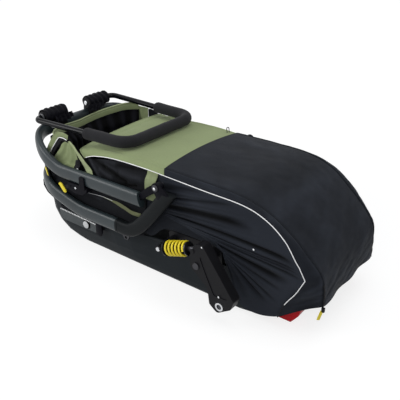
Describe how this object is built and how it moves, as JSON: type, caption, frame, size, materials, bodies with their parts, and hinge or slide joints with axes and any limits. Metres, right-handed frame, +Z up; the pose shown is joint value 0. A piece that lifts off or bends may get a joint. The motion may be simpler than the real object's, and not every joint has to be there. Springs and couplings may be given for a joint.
{
  "type": "dog bike trailer",
  "caption": "Folded dog bike trailer without wheels: tub, folding tube hoops, cloth cabin and cover, handlebar with foam grip, sprung swing arms and a drawbar socket.",
  "frame": {"origin": "middle of the tub's underside, where it stands on the floor", "axes": "-X towards the drawbar and the front of the trailer, +X towards the tail, -Y its left side, +Z up"},
  "size_m": [1.1305, 0.5866, 0.421],
  "materials": {
    "black_tube": "satin black paint on aluminium tube",
    "black_plastic": "matte moulded plastic",
    "tub_plastic": "fine-grained moulded plastic",
    "foam": "matte foam",
    "green_cloth": "woven cloth",
    "black_cloth": "coated woven cloth",
    "yellow": "gloss powder coat",
    "yellow_plastic": "gloss",
    "steel": "bright plated",
    "red_lens": "clear gloss",
    "grey_mat": "felted"
  },
  "bodies": {
    "chassis": {"tub": "tub_plastic", "floor_mat": "grey_mat", "lower_loop": "black_tube", "rear_bow": "black_tube", "rear_cover": "black_cloth", "fold_strap": "black_cloth", "strap_tab": "yellow_plastic", "rear_zip_slider": "black_plastic", "rear_zip_pull": "yellow_plastic", "drawbar_socket": "black_plastic", "drawbar_catch": "black_plastic", "left_elbow": "black_tube", "left_pivot_bolt": "steel", "left_tie_ring": "steel", "left_arm_bracket": "black_plastic", "left_arm_bolt": "steel", "left_strut_body": "black_plastic", "left_strut_bolt": "steel", "left_spring": "yellow", "left_side_panel": "black_cloth", "left_reflector": "red_lens", "right_elbow": "black_tube", "right_pivot_bolt": "steel", "right_tie_ring": "steel", "right_arm_bracket": "black_plastic", "right_arm_bolt": "steel", "right_strut_body": "black_plastic", "right_strut_bolt": "steel", "right_spring": "yellow", "right_side_panel": "black_cloth", "right_reflector": "red_lens"},
    "hoop": {"upper_hoop": "black_tube", "green_roof": "green_cloth", "front_hem_band": "green_cloth", "front_window": "black_cloth", "left_hoop_knuckle": "black_plastic", "left_handle_hub": "black_plastic", "left_latch_housing": "black_plastic", "left_front_gusset": "green_cloth", "left_side_window": "black_cloth", "left_corner_webbing": "green_cloth", "right_hoop_knuckle": "black_plastic", "right_handle_hub": "black_plastic", "right_latch_housing": "black_plastic", "right_front_gusset": "green_cloth", "right_side_window": "black_cloth", "right_corner_webbing": "green_cloth"},
    "handlebar": {"handlebar_tube": "black_tube", "foam_grip": "foam"},
    "drawbar_release": {"drawbar_button": "steel"},
    "left_handle_release": {"left_handle_button": "steel"},
    "left_latch": {"left_latch_lever": "yellow_plastic"},
    "left_arm": {"left_swing_arm": "black_plastic", "left_axle_bush": "steel"},
    "left_rod": {"left_strut_rod": "steel"},
    "right_handle_release": {"right_handle_button": "steel"},
    "right_latch": {"right_latch_lever": "yellow_plastic"},
    "right_arm": {"right_swing_arm": "black_plastic", "right_axle_bush": "steel"},
    "right_rod": {"right_strut_rod": "steel"}
  },
  "joints": [
    {"name": "hoop_fold", "type": "hinge", "parent": "chassis", "child": "hoop", "pos_m": [0.029, 0, 0.338], "axis": [0, 1, 0], "range_deg": [0, 60], "deforming": ["left_side_window", "right_side_window", "front_window", "left_front_gusset", "right_front_gusset", "green_roof", "left_corner_webbing", "right_corner_webbing"]},
    {"name": "handlebar_fold", "type": "hinge", "parent": "hoop", "child": "handlebar", "pos_m": [-0.568, 0, 0.4], "axis": [0, 1, 0], "range_deg": [-150, 0]},
    {"name": "drawbar_press", "type": "slide", "parent": "chassis", "child": "drawbar_release", "axis": [0, 1, 0], "range_m": [0, 0.003], "stiffness_N_per_m": 400},
    {"name": "left_handle_press", "type": "slide", "parent": "hoop", "child": "left_handle_release", "axis": [0, -1, 0], "range_m": [0, 0.0035], "stiffness_N_per_m": 400},
    {"name": "left_latch_turn", "type": "hinge", "parent": "hoop", "child": "left_latch", "pos_m": [-0.34, -0.236, 0.2387], "axis": [0, 1, 0], "range_deg": [-19, 0], "stiffness_Nm_per_rad": 0.05},
    {"name": "left_arm_swing", "type": "hinge", "parent": "chassis", "child": "left_arm", "pos_m": [0.203, -0.269, 0.165], "axis": [0, -1, 0], "range_deg": [0, 12], "stiffness_Nm_per_rad": 150, "deforming": ["left_spring"]},
    {"name": "left_rod_slide", "type": "slide", "parent": "chassis", "child": "left_rod", "axis": [-0.9458, 0, -0.3249], "range_m": [0, 0.01]},
    {"name": "right_handle_press", "type": "slide", "parent": "hoop", "child": "right_handle_release", "axis": [0, 1, 0], "range_m": [0, 0.0035], "stiffness_N_per_m": 400},
    {"name": "right_latch_turn", "type": "hinge", "parent": "hoop", "child": "right_latch", "pos_m": [-0.34, 0.236, 0.2387], "axis": [0, 1, 0], "range_deg": [-19, 0], "stiffness_Nm_per_rad": 0.05},
    {"name": "right_arm_swing", "type": "hinge", "parent": "chassis", "child": "right_arm", "pos_m": [0.203, 0.269, 0.165], "axis": [0, -1, 0], "range_deg": [0, 12], "stiffness_Nm_per_rad": 150, "deforming": ["right_spring"]},
    {"name": "right_rod_slide", "type": "slide", "parent": "chassis", "child": "right_rod", "axis": [-0.9458, 0, -0.3249], "range_m": [0, 0.01]}
  ],
  "couplings": [
    {"joint": "left_rod_slide", "follows": "left_arm_swing", "m_per_rad": 0.04473},
    {"joint": "right_rod_slide", "follows": "right_arm_swing", "m_per_rad": 0.04473}
  ]
}
